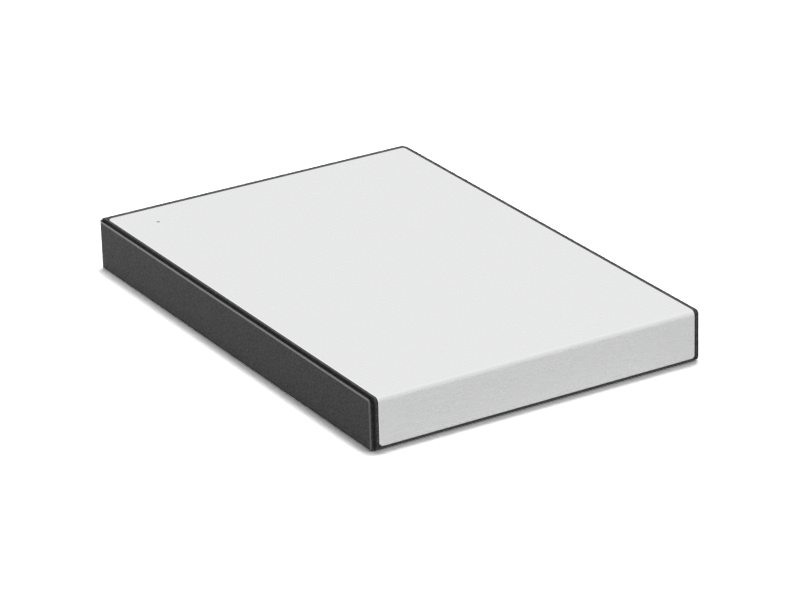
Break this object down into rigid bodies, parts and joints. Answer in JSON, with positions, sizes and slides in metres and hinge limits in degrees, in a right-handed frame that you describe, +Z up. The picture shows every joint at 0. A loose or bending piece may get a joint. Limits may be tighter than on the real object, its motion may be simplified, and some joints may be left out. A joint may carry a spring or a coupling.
{
  "type": "portable hard drive",
  "caption": "Slim portable hard drive: black plastic case with a brushed aluminium cover bent over its top and front end, a data socket in the back end, and disks and a head arm inside.",
  "frame": {"origin": "centre of the underside", "axes": "+X across the width, +Y along the length towards the socket end, +Z up"},
  "size_m": [0.078, 0.115, 0.0117],
  "materials": {
    "case_plastic": "fine satin texture",
    "cover_aluminium": "brushed across the width, edges cut bright",
    "adhesive_film": "soft film",
    "clear_plastic": "clear, polished",
    "light_body": "diffuse white",
    "bumper_rubber": "matt",
    "pad_foam": "open foam",
    "cast_aluminium": "as cast",
    "machined_aluminium": "machined",
    "sheet_steel": "rolled sheet",
    "turned_steel": "turned",
    "plated_steel": "nickel plated",
    "magnet": "nickel plated",
    "bonded_magnet": "bonded powder",
    "core_steel": "laminated",
    "copper": "enamelled wire",
    "bronze": "turned",
    "gold_plate": "gold flash",
    "disk_coating": "polished",
    "slider_ceramic": "lapped",
    "ramp_plastic": "moulded",
    "flex_film": "amber film",
    "board": "solder mask",
    "chip_resin": "moulded resin",
    "ferrite": "pressed ferrite",
    "capacitor_ceramic": "fired",
    "connector_plastic": "moulded"
  },
  "bodies": {
    "case": {"bearing_sleeve": "bronze", "bridge_board": "board", "bridge_capacitors": "capacitor_ceramic", "bridge_chip": "chip_resin", "cache_memory": "chip_resin", "cover_adhesive": "adhesive_film", "cover_gasket": "bumper_rubber", "cover_screws": "turned_steel", "crystal": "plated_steel", "drive_base": "cast_aluminium", "drive_board": "board", "drive_controller": "chip_resin", "drive_cover": "sheet_steel", "flash_chip": "chip_resin", "flex_cable": "flex_film", "flex_connector": "connector_plastic", "front_pad": "pad_foam", "light_pipe": "clear_plastic", "load_ramp": "ramp_plastic", "lower_case": "case_plastic", "lower_magnet": "magnet", "lower_pads": "pad_foam", "lower_yoke": "sheet_steel", "motor_driver": "chip_resin", "pivot_post": "turned_steel", "power_inductor": "ferrite", "sata_contacts": "gold_plate", "sata_plug": "connector_plastic", "sata_receptacle": "connector_plastic", "side_bumpers": "bumper_rubber", "stator_core": "core_steel", "stator_windings": "copper", "status_light": "light_body", "top_cover": "cover_aluminium", "upper_case": "case_plastic", "upper_magnet": "magnet", "upper_pads": "pad_foam", "upper_yoke": "sheet_steel", "usb_contacts": "gold_plate", "usb_socket_insulator": "connector_plastic", "usb_socket_shell": "plated_steel"},
    "disk_pack": {"spindle_hub": "machined_aluminium", "spindle_shaft": "turned_steel", "rotor_magnet": "bonded_magnet", "lower_disk": "disk_coating", "upper_disk": "disk_coating", "disk_spacer": "machined_aluminium", "disk_clamp": "sheet_steel", "clamp_screw": "turned_steel"},
    "head_stack": {"head_arm": "machined_aluminium", "voice_coil": "copper", "pivot_bearing": "turned_steel", "head_suspensions": "sheet_steel", "head_sliders": "slider_ceramic"}
  },
  "joints": [
    {"name": "disk_spin", "type": "hinge", "parent": "case", "child": "disk_pack", "pos_m": [0, -0.01945, 0.0055], "axis": [0, 0, 1], "continuous": true},
    {"name": "head_swing", "type": "hinge", "parent": "case", "child": "head_stack", "pos_m": [-0.012, 0.01884, 0.0055], "axis": [0, 0, 1], "range_deg": [-32.8, 0]}
  ]
}
